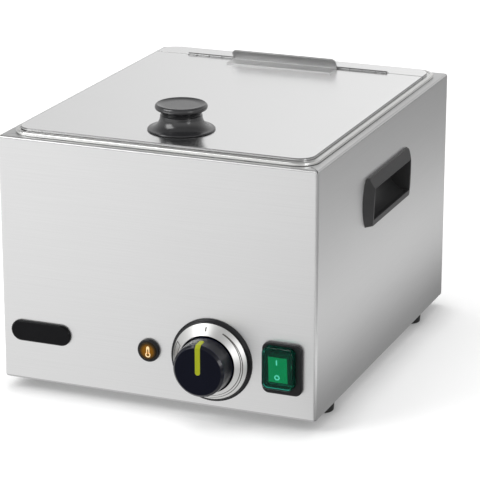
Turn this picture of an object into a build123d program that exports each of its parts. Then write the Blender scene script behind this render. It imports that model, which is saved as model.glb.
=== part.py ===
from build123d import *
import math
import os

# A counter-top sausage warmer: a sheet steel housing with a water well, a lift-out food
# container of size 1/2 GN and a hinged lid that rests on the container's rim.
# Millimetres. The front faces -Y, +Z is up. The origin is under the middle of the whole
# object, on the surface that the feet stand on.

# Driving sizes of the housing
WIDTH = 280.0
DEPTH = 337.0
HEIGHT = 211.0
FOOT_HEIGHT = 10.0
SHEET = 1.0
KNOB_REACH = 30.0
GLAND_REACH = 14.0

BASE_Z = FOOT_HEIGHT
DECK_Z = BASE_Z + HEIGHT
SIDE_X = WIDTH / 2
FRONT_Y = -(DEPTH + GLAND_REACH - KNOB_REACH) / 2
MIDDLE_Y = FRONT_Y + DEPTH / 2
REAR_Y = FRONT_Y + DEPTH

# Food container, 1/2 GN by 100 mm deep, and the water well round it
RIM_WIDTH, RIM_DEPTH, RIM_RADIUS = 266.0, 326.0, 18.0
RIM_BOTTOM_Z = DECK_Z + 0.4
CREST_Z = DECK_Z + 3.3
BAND_Z = DECK_Z + 2.7
CREST_WIDTH = 3.4
PAN_SHEET = 0.9
MOUTH_WIDTH, MOUTH_DEPTH, MOUTH_RADIUS = 240.0, 300.0, 32.0
PAN_DEPTH = 100.0
PAN_TAPER = 4.0
WELL_WIDTH, WELL_DEPTH, WELL_RADIUS = 248.0, 308.0, 30.0
WELL_FLOOR_Z = BASE_Z + 96.0

# Lid, its fixed rear strip and the hinge between them
LID_WIDTH = 258.0
LID_FRONT_Y = FRONT_Y + 10.0
STRIP_REAR_Y = FRONT_Y + 322.0
LID_TOP_Z = DECK_Z + 5.4
LID_EDGE_Z = BAND_Z + 0.5
LID_RADIUS = 14.0
HINGE_Y = FRONT_Y + 297.0
HINGE_Z = LID_TOP_Z
HINGE_GAP = 2.4
SEAM_GAP = 0.6
BARREL_R = 1.8
PIN_R = 1.0
KNUCKLE_PITCH = 12.4
HINGE_LEFT, HINGE_RIGHT = -96.5, 96.0
FIRST_KNUCKLE = 8.8
LEAF_THICK = 0.8
KNOB_Y = FRONT_Y + 56.0

# Controls on the front panel, places as x and z
DIAL_X, DIAL_Z = 49.6, BASE_Z + 41.6
LAMP_X, LAMP_Z = -5.9, BASE_Z + 42.3
SWITCH_X, SWITCH_Z = 110.2, BASE_Z + 44.8
SWITCH_FRAME_X, SWITCH_FRAME_Z = SWITCH_X + 1.5, SWITCH_Z - 1.7
BADGE_X, BADGE_Z = -104.4, BASE_Z + 44.0

# Side handles, feet and the cord entry
HANDLE_Z = BASE_Z + 151.9
HANDLE_LENGTH, HANDLE_HEIGHT = 123.6, 41.8
HANDLE_TOP, HANDLE_LOW = HANDLE_HEIGHT / 2, -HANDLE_HEIGHT / 2
CUP_DEPTH, CUP_HALF = 14.2, 48.2
FOOT_X, FOOT_SPREAD, FOOT_R = 125.6, 115.5, 11.0
GLAND_X, GLAND_Z, GLAND_BORE_R = -88.0, BASE_Z + 36.0, 4.2


def slab(x0, x1, y0, y1, z0, z1):
    """A box between two corners."""
    return Pos((x0 + x1) / 2, (y0 + y1) / 2, (z0 + z1) / 2) * Box(x1 - x0, y1 - y0, z1 - z0)


def plate(width, depth, radius, z0, z1, y=MIDDLE_Y):
    """An upright prism on a rounded rectangle, centred in x."""
    return extrude(Pos(0, y, z0) * RectangleRounded(width, depth, radius), z1 - z0)


def bar(radius, start, end):
    """A round bar between two points."""
    start, end = Vector(*start), Vector(*end)
    axis = Plane(origin=start, z_dir=end - start)
    return extrude(axis * Circle(radius), (end - start).length)


def on_front(x, z):
    """A place on the front face, with local z pointing out of it."""
    return Plane(origin=(x, FRONT_Y, z), x_dir=(1, 0, 0), z_dir=(0, -1, 0)).location


def revolved(points_line, place):
    """A turned piece from a closed outline in radius and height."""
    return place * revolve(make_face(Plane.XZ * points_line), Axis.Z)


def ring(outer, inner, low, high):
    return Pos(0, 0, low) * (extrude(Circle(outer) - Circle(inner), high - low))


def save(name, shape):
    export_step(shape if isinstance(shape, Compound) else Compound([shape]), f"parts/{name}.step")


def group(*shapes):
    return Compound(children=list(shapes))


def foot_places():
    return [(x, MIDDLE_Y + dy) for x in (-FOOT_X, FOOT_X) for dy in (-FOOT_SPREAD, FOOT_SPREAD)]


def rear_screw_places():
    return [(x, BASE_Z + dz) for x in (-133.0, 133.0) for dz in (15.0, HEIGHT / 2, HEIGHT - 15.0)]


# Housing

def folded_box(inset, bend):
    """The housing's outer or inner form, with its bent edges rounded."""
    box = slab(-SIDE_X + inset, SIDE_X - inset, FRONT_Y + inset, REAR_Y - SHEET - inset,
               BASE_Z + inset, DECK_Z - inset)
    box = fillet(box.edges().filter_by(Axis.Z).sort_by(Axis.Y)[:2], bend)
    top = box.faces().sort_by(Axis.Z)[-1].edges().sort_by(Axis.Y)[:-1]
    low = box.faces().sort_by(Axis.Z)[0].edges().sort_by(Axis.Y)[:-1]
    return fillet(top + low, bend * 0.8)


def handle_cutouts():
    half = CUP_HALF + 0.3
    return [slab(side * SIDE_X - 3, side * SIDE_X + 3, MIDDLE_Y - half, MIDDLE_Y + half,
                 HANDLE_Z + HANDLE_LOW + 3.0, HANDLE_Z + HANDLE_TOP - 2.1) for side in (-1, 1)]


def housing_wrap():
    body = folded_box(0, 2.6) - folded_box(SHEET, 1.6)
    body -= plate(WELL_WIDTH + 2.6, WELL_DEPTH + 2.6, WELL_RADIUS + 1.3, DECK_Z - 5, DECK_Z + 5)
    body -= plate(216, 270, 12, BASE_Z - 5, BASE_Z + 5)
    body -= slab(-126, 126, REAR_Y - 5, REAR_Y + 5, BASE_Z + 14, DECK_Z - 14)
    for cut in handle_cutouts():
        body -= cut
    body -= on_front(DIAL_X, DIAL_Z) * Cylinder(5.5, 8)
    for x in (-14, 14):
        body -= on_front(DIAL_X + x, DIAL_Z) * Cylinder(2.2, 8)
    body -= on_front(LAMP_X, LAMP_Z) * Cylinder(6.8, 8)
    body -= on_front(SWITCH_X, SWITCH_Z) * Box(24.6, 31, 8)
    for x in (-20, 20):
        body -= on_front(BADGE_X + x, BADGE_Z) * Cylinder(1.6, 8)
    for x, y in foot_places():
        body -= Pos(x, y, BASE_Z) * Cylinder(2.7, 8)
    for x, z in rear_screw_places():
        body -= bar(1.6, (x, REAR_Y - 8, z), (x, REAR_Y, z))
    # The slits where the front and side folds of the top meet
    for side in (-1, 1):
        slit = Pos(side * (SIDE_X - 5), FRONT_Y + 5, DECK_Z) * Rot(0, 0, side * -45) * Box(17, 0.7, 4.6)
        body -= slit
    return body


def rear_panel():
    panel = slab(-SIDE_X + 0.5, SIDE_X - 0.5, REAR_Y - SHEET, REAR_Y, BASE_Z + 0.5, DECK_Z - 1.5)
    panel = fillet(panel.edges().filter_by(Axis.Y), 3)
    for x, z in rear_screw_places():
        panel -= bar(1.7, (x, REAR_Y - 5, z), (x, REAR_Y + 5, z))
    panel -= bar(8.2, (GLAND_X, REAR_Y - 5, GLAND_Z), (GLAND_X, REAR_Y + 5, GLAND_Z))
    for column in range(9):
        for row in range(2):
            x, z = -20 + column * 14, BASE_Z + 40 + row * 34
            louvre = Pos(x, REAR_Y, z) * Rot(90, 0, 0) * SlotOverall(26, 4, rotation=90)
            panel -= extrude(louvre, 3, both=True)
    return panel


def rear_screws():
    screws = []
    for x, z in rear_screw_places():
        head = bar(3.2, (x, REAR_Y, z), (x, REAR_Y + 2.0, z))
        head = chamfer(head.edges().sort_by(Axis.Y)[-1], 0.7)
        slot = Pos(x, REAR_Y + 2.0, z) * (Box(3.4, 1.6, 0.8) + Box(0.8, 1.6, 3.4))
        screws.append(head - slot + bar(1.55, (x, REAR_Y - 8, z), (x, REAR_Y + 0.5, z)))
    return group(*screws)


def base_plate():
    body = plate(275.0, 330, 4, BASE_Z + SHEET, BASE_Z + 2 * SHEET, MIDDLE_Y - 0.5)
    for x, y in foot_places():
        body -= Pos(x, y, BASE_Z) * Cylinder(2.7, 8)
    for row in range(-3, 4):
        for x in (-52, 52):
            body -= extrude(Pos(x, MIDDLE_Y + 18 * row, BASE_Z) * SlotOverall(70, 4), 6)
    return body


def foot(x, y):
    solid = Pos(x, y, 0) * extrude(Circle(FOOT_R - 0.8), FOOT_HEIGHT, taper=-4.5)
    solid = fillet(solid.edges().sort_by(Axis.Z)[0], 1.2)
    solid -= Pos(x, y, 2.2) * Cylinder(5.2, 4.4)
    return solid - Pos(x, y, 0) * Cylinder(2.7, 40)


def foot_screws():
    screws = []
    for x, y in foot_places():
        head = Pos(x, y, 3.0) * Cylinder(4.6, 2.6)
        head = chamfer(head.edges().sort_by(Axis.Z)[0], 0.8)
        screws.append(head + bar(2.5, (x, y, 3.5), (x, y, BASE_Z + 8)))
    return group(*screws)


def foot_nuts():
    nuts = []
    for x, y in foot_places():
        hexagon = Pos(x, y, BASE_Z + 2 * SHEET) * (RegularPolygon(4.6, 6) - Circle(2.52))
        nuts.append(extrude(hexagon, 4))
    return group(*nuts)


# Water well and heater

def water_well():
    outer = plate(WELL_WIDTH + 2, WELL_DEPTH + 2, WELL_RADIUS + 1, WELL_FLOOR_Z - 1, DECK_Z + 1)
    outer = fillet(outer.faces().sort_by(Axis.Z)[0].edges(), 13)
    flange = plate(RIM_WIDTH - 6, RIM_DEPTH - 6, RIM_RADIUS, DECK_Z, DECK_Z + 1)
    inner = plate(WELL_WIDTH, WELL_DEPTH, WELL_RADIUS, WELL_FLOOR_Z, DECK_Z + 4)
    inner = fillet(inner.faces().sort_by(Axis.Z)[0].edges(), 12)
    return outer + flange - inner


SPREADER_TOP = WELL_FLOOR_Z - 1
SPREADER_LOW = SPREADER_TOP - 2
TUBE_R = 3.25
TUBE_Z = SPREADER_LOW - TUBE_R - 0.05
STRAP_TOP = TUBE_Z - TUBE_R - 0.05
STUD_PLACES = [(x, FRONT_Y + d) for x in (-78, -40, 40, 78) for d in (120, 215)]


def heat_spreader():
    return plate(206, 236, 10, SPREADER_LOW, SPREADER_TOP, FRONT_Y + 168)


def heater_element():
    pitch, front, rear, end = 20.0, FRONT_Y + 80, FRONT_Y + 256, FRONT_Y + 282
    corners = [(-3 * pitch, end), (-3 * pitch, front), (-pitch, front), (-pitch, rear),
               (pitch, rear), (pitch, front), (3 * pitch, front), (3 * pitch, end)]
    path = FilletPolyline(*[(x, y, TUBE_Z) for x, y in corners], radius=pitch - 0.5)
    start = Plane(origin=path @ 0, z_dir=path % 0)
    tube = sweep(start * Circle(TUBE_R), path)
    pins = [bar(1.6, (x, end - 1, TUBE_Z), (x, end + 12, TUBE_Z)) for x in (-3 * pitch, 3 * pitch)]
    return tube + pins[0] + pins[1]


def heater_straps():
    straps = []
    for d in (120, 215):
        strap = plate(172, 14, 3, STRAP_TOP - 1.5, STRAP_TOP, FRONT_Y + d)
        for x, y in STUD_PLACES:
            strap -= Pos(x, y, STRAP_TOP) * Cylinder(2.2, 8)
        straps.append(strap)
    return group(*straps)


def strap_studs():
    return group(*[bar(2.0, (x, y, STRAP_TOP - 9), (x, y, SPREADER_LOW)) for x, y in STUD_PLACES])


def strap_nuts():
    nut = RegularPolygon(4.0, 6) - Circle(2.02)
    return group(*[extrude(Pos(x, y, STRAP_TOP - 4.7) * nut, 3.2) for x, y in STUD_PLACES])


def overheat_cutout():
    x, y = -92, FRONT_Y + 168
    body = bar(8, (x, y, SPREADER_LOW - 9), (x, y, SPREADER_LOW))
    body += bar(10, (x, y, SPREADER_LOW - 3), (x, y, SPREADER_LOW))
    for side in (-1, 1):
        body += slab(x + side * 4 - 0.4, x + side * 4 + 0.4, y - 3, y + 3,
                     SPREADER_LOW - 17, SPREADER_LOW - 8.5)
    return body


# Thermostat, its dial and knob

def thermostat_body():
    place = on_front(DIAL_X, DIAL_Z) * Pos(0, 0, -SHEET)
    body = place * Pos(0, 0, -17) * Box(46, 46, 34)
    body = chamfer(body.edges().filter_by(Axis.Y), 3)
    for side in (-1, 1):
        body -= place * Pos(side * 14, 0, -5) * Cylinder(2.02, 10.1)
        body += place * Pos(side * 12, -14, -38) * Box(6.3, 0.8, 8.2)
    return body - place * Pos(0, 0, -11) * Cylinder(3.05, 22.1)


def thermostat_screws():
    screws = []
    for side in (-1, 1):
        place = on_front(DIAL_X + side * 14, DIAL_Z)
        head = place * Pos(0, 0, 2.1) * Cylinder(3.4, 1.8)
        screws.append(head + place * Pos(0, 0, -3) * Cylinder(2.0, 9))
    return group(*screws)


def sensor_bulb_and_capillary():
    """The oil-filled bulb under the well and the thin tube from it to the thermostat."""
    bulb_z = SPREADER_LOW - 3.05
    bulb = bar(3.0, (0, FRONT_Y + 100, bulb_z), (0, FRONT_Y + 190, bulb_z))
    bulb = fillet(bulb.edges(), 1.2)
    path = FilletPolyline((0, FRONT_Y + 101, bulb_z), (0, FRONT_Y + 62, bulb_z),
                          (DIAL_X, FRONT_Y + 52, DIAL_Z + 13), (DIAL_X, FRONT_Y + 35, DIAL_Z + 13), radius=9)
    tube = sweep(Plane(origin=path @ 0, z_dir=path % 0) * Circle(0.8), path)
    return bulb + tube


def bulb_clips():
    clips = []
    z = SPREADER_LOW - 3.05
    for d in (138, 168):
        y0, y1 = FRONT_Y + d - 3, FRONT_Y + d + 3
        cap = bar(3.9, (0, y0, z), (0, y1, z)) - bar(3.05, (0, y0 - 1, z), (0, y1 + 1, z))
        cap -= slab(-8, 8, y0 - 1, y1 + 1, z + 1, z + 8)
        for side in (-1, 1):
            low, high = sorted((side * 3.06, side * 3.85))
            cap += slab(low, high, y0, y1, z + 0.5, SPREADER_LOW)
            low, high = sorted((side * 3.06, side * 9))
            cap += slab(low, high, y0, y1, SPREADER_LOW - 0.8, SPREADER_LOW)
        clips.append(cap)
    return group(*clips)


def thermostat_spindle():
    spindle = on_front(DIAL_X, DIAL_Z) * Pos(0, 0, 0.5) * Cylinder(3.0, 43)
    flat = on_front(DIAL_X, DIAL_Z) * Pos(0, -4.3, 14) * Box(8, 4, 18)
    return spindle - flat


# The dial's cone, as its outer and inner radius and their heights above the panel
DIAL_R, SCALE_R, SCALE_HOLE_R, SCALE_LOW, SCALE_TOP = 35.5, 32.6, 24.5, 4.0, 11.6
SCALE_SHEET, CONE_WALL = 0.8, 1.8
KNOB_BASE_R, KNOB_FACE_R, KNOB_START = 23.2, 21.7, 12.0
POINTER_WIDTH, POINTER_END = 4.4, 19.3


def cone_line(below):
    """The two ends, as radius and height, of a line that runs below the cone's face."""
    run, rise = SCALE_R - SCALE_HOLE_R, SCALE_TOP - SCALE_LOW
    slope = math.hypot(run, rise)
    inward, down = below * rise / slope, below * run / slope
    return (SCALE_R - inward, SCALE_LOW - down), (SCALE_HOLE_R - inward, SCALE_TOP - down)


def dial_bezel():
    """The black base of the dial: a flared skirt and the cone that carries the silver ring."""
    outer_low, outer_top = cone_line(SCALE_SHEET)
    inner_low, inner_top = cone_line(SCALE_SHEET + CONE_WALL)
    flare = ThreePointArc((DIAL_R, 0.9), (SCALE_R + 1.2, 2.0), (SCALE_R + 0.3, SCALE_LOW))
    base = Polyline((7, 0), (DIAL_R, 0), (DIAL_R, 0.9))
    cone = Polyline((SCALE_R + 0.3, SCALE_LOW), outer_low, outer_top, inner_top, inner_low,
                    (inner_low[0] - 1.5, 1.2), (7, 1.2), (7, 0))
    body = revolved(base + flare + cone, Pos(0, 0, 0))
    for side in (-1, 1):
        body -= Pos(side * 14, 0, 0) * Cylinder(2.2, 8)
    return on_front(DIAL_X, DIAL_Z) * body


def dial_scale():
    """The silver ring, a thin cone on the dial's base."""
    face_low, face_top = cone_line(0)
    under_low, under_top = cone_line(SCALE_SHEET)
    return revolved(Polyline(face_low, face_top, under_top, under_low, close=True), on_front(DIAL_X, DIAL_Z))


def knob_form(grow):
    """The turned outside of the temperature knob, grown or shrunk by a little."""
    base, face, top = KNOB_BASE_R + grow, KNOB_FACE_R + grow, KNOB_REACH - 0.3 + grow
    outline = Polyline((0, KNOB_START), (base, KNOB_START), (face + 0.5, top - 2.2), (face - 1.6, top),
                       (0, top), close=True)
    return revolve(make_face(Plane.XZ * outline), Axis.Z)


def knob_pointer_form():
    """The lime inlay: a thin layer of the knob's skin, kept to a band with two round ends."""
    on_face = extrude(Pos(0, 12.5) * SlotOverall(31, POINTER_WIDTH, rotation=90), 60)
    on_side = extrude(Plane.XZ * Pos(0, POINTER_END + 20) * SlotOverall(40, POINTER_WIDTH, rotation=90), 60,
                      both=True)
    return (knob_form(0.3) - knob_form(-0.9)) & on_face & on_side


def thermostat_knob():
    body = knob_form(0)
    body = fillet(body.edges().sort_by(Axis.Z)[-1], 1.0)
    body -= Pos(0, 0, KNOB_START + 6.9) * Cylinder(20.2, 14)
    body += Pos(0, 0, 16) * Cylinder(6.5, 24)
    body -= Pos(0, 0, 12.8) * Cylinder(3.02, 19)
    body -= knob_pointer_form()
    return on_front(DIAL_X, DIAL_Z) * body


def knob_pointer():
    return on_front(DIAL_X, DIAL_Z) * knob_pointer_form()


# Pilot lamp

def lamp_bezel():
    body = Pos(0, 0, 1.5) * Cylinder(9.75, 3.0)
    body = fillet(body.edges().sort_by(Axis.Z)[-1], 1.4)
    return on_front(LAMP_X, LAMP_Z) * (body - Cylinder(7.7, 10))


def lamp_lens():
    body = Pos(0, 0, 1.9) * Cylinder(7.6, 3.8)
    body = fillet(body.edges().sort_by(Axis.Z)[-1], 1.1)
    return on_front(LAMP_X, LAMP_Z) * body


def lamp_body():
    body = Pos(0, 0, -11) * Cylinder(6.5, 22)
    for side in (-1, 1):
        body += Pos(side * 3.4, 0, -25.5) * Box(0.8, 4.8, 8)
    return on_front(LAMP_X, LAMP_Z) * body


def lamp_nut():
    nut = extrude(RegularPolygon(9.6, 6) - Circle(6.55), 3)
    return on_front(LAMP_X, LAMP_Z) * Pos(0, 0, -SHEET - 3.0) * nut


# Rocker switch with its splash cap

CAP_REACH, CAP_WALL = 10.6, 1.1
ROCKER_TILT = 5.0


def switch_frame():
    body = on_front(SWITCH_FRAME_X, SWITCH_FRAME_Z) * extrude(RectangleRounded(34.3, 43.4, 6), 3.6)
    body = fillet(body.faces().sort_by(Axis.Y)[0].edges(), 1.2)
    return body - on_front(SWITCH_X, SWITCH_Z) * extrude(RectangleRounded(27.0, 35.6, 4.9), 10, both=True)


def switch_cover():
    """The clear soft cap over the rocker, hollow from behind, with a bevel round its face."""
    def form(inset, reach, bevel):
        body = extrude(RectangleRounded(26.8 - 2 * inset, 35.4 - 2 * inset, 4.8 - inset), reach)
        return chamfer(body.faces().sort_by(Axis.Z)[-1].edges(), bevel)

    return on_front(SWITCH_X, SWITCH_Z) * (form(0, CAP_REACH, 1.2) - form(CAP_WALL, CAP_REACH - CAP_WALL, 1.0))


def switch_body():
    body = Pos(0, 0, -22.4) * extrude(RectangleRounded(24.2, 30.6, 3.4), 23.2)
    body -= Box(18.2, 24.4, 15)
    for side in (-1, 1):
        body -= Pos(side * 9.5, 0, -1) * Rot(0, 90, 0) * Cylinder(1.56, 2.2)
        for up in (-1, 1):
            body += Pos(side * 5.5, up * 7, -26.2) * Box(0.8, 6.3, 8.4)
    return on_front(SWITCH_X, SWITCH_Z) * body


def switch_rocker():
    """The rocker, tipped about its pivot with the upper end out."""
    body = Pos(0, 0, 3.0) * Box(16.6, 22.6, 10.4)
    ends = body.faces().sort_by(Axis.Z)[0].edges().filter_by(Axis.X)
    body = chamfer(ends, 3.2)
    body = fillet(body.faces().sort_by(Axis.Z)[-1].edges(), 0.6)
    body += Pos(0, 0, -1) * Rot(0, 90, 0) * Cylinder(1.5, 19.6)
    turned = Pos(0, 0, -1) * Rot(ROCKER_TILT, 0, 0) * Pos(0, 0, 1) * body
    return on_front(SWITCH_X, SWITCH_Z) * turned


def badge_plate():
    body = extrude(RectangleRounded(54.6, 18.0, 8.95), 2.6)
    body = chamfer(body.faces().sort_by(Axis.Z)[-1].edges(), 1.0)
    for side in (-1, 1):
        body += Pos(side * 20, 0, -2) * Cylinder(1.5, 4.2)
    return on_front(BADGE_X, BADGE_Z) * body


# Recessed side handles

def handle_outline(half, bow, top_radius):
    """The handle's outline, with its two ends bowed outwards."""
    right = ThreePointArc((half - bow, HANDLE_LOW), (half, 0), (half - bow, HANDLE_TOP))
    left = ThreePointArc((-half + bow, HANDLE_TOP), (-half, 0), (-half + bow, HANDLE_LOW))
    face = make_face(right + Line(right @ 1, left @ 0) + left + Line(left @ 1, right @ 0))
    face = fillet(face.vertices().sort_by(Axis.Y)[-2:], top_radius)
    return fillet(face.vertices().sort_by(Axis.Y)[:2], 1.5)


def handle_cup():
    """The right-hand handle in its own frame: x out of the side wall, z up, y along it."""
    top, low = HANDLE_TOP, HANDLE_LOW
    wall = Plane(origin=(0, 0, 0), x_dir=(0, 1, 0), z_dir=(1, 0, 0))
    at_wall = wall * handle_outline(HANDLE_LENGTH / 2, 7.2, 6.0)
    in_front = wall.offset(7) * handle_outline(HANDLE_LENGTH / 2 - 15.6, 0.8, 2.0)
    section = Polyline((-1, top), (2.4, top), (6.2, top - 9.2), (5.2, low + 5.3), (4.6, low), (-1, low),
                       close=True)
    section = extrude(make_face(Plane.XZ * section), 70, both=True)
    frame = loft([at_wall, in_front], ruled=True) & section
    frame = frame + slab(-CUP_DEPTH, 0.5, -CUP_HALF, CUP_HALF, low + 3.3, top - 2.4)
    floor_line = Polyline((8, low + 5.3), (1.0, low + 4.7))
    scoop = ThreePointArc((1.0, low + 4.7), (-7.6, low + 8.9), (-13.0, low + 15.9))
    back = Polyline((-13.0, low + 15.9), (-13.0, top - 5.0), (-1.0, top - 5.0), (3.2, top - 9.3),
                    (8, top - 9.3), (8, low + 5.3))
    hollow = make_face(Plane.XZ * (floor_line + scoop + back))
    return frame - extrude(hollow, CUP_HALF - 1.3, both=True)


def handle_cup_right():
    return Pos(SIDE_X, MIDDLE_Y, HANDLE_Z) * handle_cup()


def handle_cup_left():
    return mirror(handle_cup_right(), about=Plane.YZ)


# Wiring pieces inside and the cord entry at the rear

def terminal_block():
    x, y, z = -52, REAR_Y - 34, BASE_Z + 2 * SHEET
    body = slab(x - 22, x + 22, y - 9, y + 9, z, z + 16)
    for pole in (-14, 0, 14):
        body -= bar(2.6, (x + pole, y - 12, z + 9), (x + pole, y + 12, z + 9))
        body -= bar(2.2, (x + pole, y - 5, z + 9), (x + pole, y - 5, z + 20))
        body -= bar(2.2, (x + pole, y + 5, z + 9), (x + pole, y + 5, z + 20))
    return body


def terminal_screws():
    x, y, z = -52, REAR_Y - 34, BASE_Z + 2 * SHEET + 9
    return group(*[bar(1.9, (x + pole, y + dy, z + 2.8), (x + pole, y + dy, z + 5.6))
                   for pole in (-14, 0, 14) for dy in (-5, 5)])


def earth_stud():
    x, y, z = -14, REAR_Y - 30, BASE_Z + 2 * SHEET
    stud = bar(2.0, (x, y, z), (x, y, z + 14))
    nut = extrude(Pos(x, y, z) * RegularPolygon(4.0, 6), 3.2)
    return stud + nut + bar(4.4, (x, y, z + 3.2), (x, y, z + 4.0))


def cable_gland():
    def at(d):
        return (GLAND_X, REAR_Y + d, GLAND_Z)

    hexagon = Plane(origin=at(0), z_dir=(0, 1, 0)) * RegularPolygon(12.0, 6)
    body = extrude(hexagon, 5) + bar(8.0, at(-9), at(1)) + bar(10.4, at(5), at(GLAND_REACH))
    body = fillet(body.edges().sort_by(Axis.Y)[-1], 3.0)
    return body - bar(GLAND_BORE_R, at(-10), at(GLAND_REACH + 1))


def gland_locknut():
    nut = Plane(origin=(GLAND_X, REAR_Y - SHEET - 4.5, GLAND_Z), z_dir=(0, 1, 0)) \
        * (RegularPolygon(11.5, 6) - Circle(8.05))
    return extrude(nut, 4.4)


WIRE_R = 1.2
BLOCK_D, BLOCK_Z = 293.8, BASE_Z + 11.0
CUTOUT_PIN_Z = SPREADER_LOW - 17.2
SWITCH_PIN_D = 31.8
THERMOSTAT_PIN_D = 43.4
PIN_TIP_D = 294.2


def wire(*points, bend=8.0):
    """An insulated wire through points given as x, distance behind the front face, and z."""
    route = FilletPolyline(*[(x, FRONT_Y + d, z) for x, d, z in points], radius=bend)
    return sweep(Plane(origin=route @ 0, z_dir=route % 0) * Circle(WIRE_R), route)


def wire_live():
    x, z = SWITCH_X - 5.5, SWITCH_Z + 7
    return wire((-66, BLOCK_D, BLOCK_Z), (-66, 110, BLOCK_Z), (x, 74, 30), (x, 48, z), (x, SWITCH_PIN_D, z),
                bend=12)


def wire_neutral():
    x, z = SWITCH_X + 5.5, SWITCH_Z + 7
    return wire((-52, BLOCK_D, BLOCK_Z), (-52, 125, BLOCK_Z), (x, 92, 22), (x, 48, z), (x, SWITCH_PIN_D, z),
                bend=12)


def wire_to_thermostat():
    x, z = SWITCH_X - 5.5, SWITCH_Z - 7
    return wire((x, SWITCH_PIN_D, z), (x, 49, z), (DIAL_X + 12, 58, DIAL_Z - 14),
                (DIAL_X + 12, THERMOSTAT_PIN_D, DIAL_Z - 14))


def wire_to_cutout():
    return wire((DIAL_X - 12, THERMOSTAT_PIN_D, DIAL_Z - 14), (DIAL_X - 12, 96, DIAL_Z - 14),
                (-88, 168, 50), (-88, 168, CUTOUT_PIN_Z))


def wire_to_heater():
    return wire((-96, 168, CUTOUT_PIN_Z), (-96, 168, 52), (-60, 312, 60), (-60, 312, TUBE_Z),
                (-60, PIN_TIP_D, TUBE_Z))


def wire_return():
    x, z = SWITCH_X + 5.5, SWITCH_Z - 7
    return wire((60, PIN_TIP_D, TUBE_Z), (60, 312, TUBE_Z), (60, 312, 36), (x, 66, 30), (x, 48, z),
                (x, SWITCH_PIN_D, z))


def wire_earth():
    return wire((-38, BLOCK_D, BLOCK_Z), (-38, 272, BLOCK_Z), (-14, 272, 17), (-14, 302.4, 17))


# Food container

def food_container():
    rim = plate(RIM_WIDTH, RIM_DEPTH, RIM_RADIUS, RIM_BOTTOM_Z, CREST_Z)
    rim = fillet(rim.faces().sort_by(Axis.Z)[-1].edges(), 1.6)
    rim -= plate(RIM_WIDTH - 2 * CREST_WIDTH, RIM_DEPTH - 2 * CREST_WIDTH, RIM_RADIUS - CREST_WIDTH,
                 BAND_Z, CREST_Z + 5)
    rim -= plate(RIM_WIDTH - 2 * PAN_SHEET, RIM_DEPTH - 2 * PAN_SHEET, RIM_RADIUS - PAN_SHEET,
                 RIM_BOTTOM_Z - 5, BAND_Z - PAN_SHEET)
    down = Plane(origin=(0, MIDDLE_Y, BAND_Z), z_dir=(0, 0, -1))

    def bowl(grow, floor_bend):
        outline = RectangleRounded(MOUTH_WIDTH + 2 * grow, MOUTH_DEPTH + 2 * grow, MOUTH_RADIUS + grow)
        form = extrude(down * outline, PAN_DEPTH + grow, taper=PAN_TAPER)
        return fillet(form.faces().sort_by(Axis.Z)[0].edges(), floor_bend)

    body = rim + bowl(PAN_SHEET, 18 + PAN_SHEET) - bowl(0, 18)
    return body


# Hinged lid

def tray(y0, y1, rounded_end):
    """A shallow cover of thin sheet, folded down on three sides and open towards the hinge."""
    def form(inset, past_hinge, z0, z1):
        front = y0 + inset if rounded_end == "front" else y0 - past_hinge
        rear = y1 - inset if rounded_end == "rear" else y1 + past_hinge
        box = slab(-LID_WIDTH / 2 + inset, LID_WIDTH / 2 - inset, front, rear, z0, z1)
        corners = box.edges().filter_by(Axis.Z).sort_by(Axis.Y)
        corners = corners[:2] if rounded_end == "front" else corners[-2:]
        return fillet(corners, LID_RADIUS - inset)

    outer = form(0, 0, LID_EDGE_Z, LID_TOP_Z)
    edges = outer.faces().sort_by(Axis.Z)[-1].edges().sort_by(Axis.Y)
    folds = edges[:-1] if rounded_end == "front" else edges[1:]
    return fillet(folds, 0.8) - form(SHEET, 1, LID_EDGE_Z - 3, LID_TOP_Z - SHEET)


def barrel_notch():
    """The room for the hinge's barrel between the lid and the rear strip."""
    return slab(HINGE_LEFT - 0.6, HINGE_RIGHT + 0.6, HINGE_Y - HINGE_GAP, HINGE_Y + HINGE_GAP,
                LID_EDGE_Z - 5, LID_TOP_Z + 5)


def lid_panel():
    lid = tray(LID_FRONT_Y, HINGE_Y - SEAM_GAP, "front") - barrel_notch()
    return lid - Pos(0, KNOB_Y, LID_TOP_Z) * Cylinder(2.3, 8)


def lid_strip():
    return tray(HINGE_Y + SEAM_GAP, STRIP_REAR_Y, "rear") - barrel_notch()


def knuckle_spans():
    """The hinge's knuckles from left to right, as x ranges, cut from long stock."""
    spans, left, right = [], HINGE_LEFT, HINGE_LEFT + FIRST_KNUCKLE
    while left < HINGE_RIGHT:
        spans.append((left + 0.2, min(right, HINGE_RIGHT) - 0.2))
        left, right = right, right + KNUCKLE_PITCH
    return spans


def hinge_leaf(side, first):
    """One leaf of the piano hinge; side is -1 for the lid's leaf and 1 for the strip's."""
    low = HINGE_Z - BARREL_R
    near, far = HINGE_Y + side * 2.3, HINGE_Y + side * 15
    leaf = slab(HINGE_LEFT, HINGE_RIGHT, min(near, far), max(near, far), low, low + LEAF_THICK)
    for start, end in knuckle_spans()[first::2]:
        tab = slab(start, end, min(HINGE_Y, near), max(HINGE_Y, near), low, low + LEAF_THICK)
        leaf += tab + bar(BARREL_R, (start, HINGE_Y, HINGE_Z), (end, HINGE_Y, HINGE_Z))
    return leaf - bar(PIN_R + 0.06, (HINGE_LEFT - 1, HINGE_Y, HINGE_Z), (HINGE_RIGHT + 1, HINGE_Y, HINGE_Z))


def hinge_pin():
    return bar(PIN_R, (HINGE_LEFT - 0.2, HINGE_Y, HINGE_Z), (HINGE_RIGHT + 0.2, HINGE_Y, HINGE_Z))


STOP_WIDTH, STOP_FOOT, STOP_FLAP, STOP_LEAN, STOP_SHEET = 100.0, 20.0, 12.5, 58.0, 1.2


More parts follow.
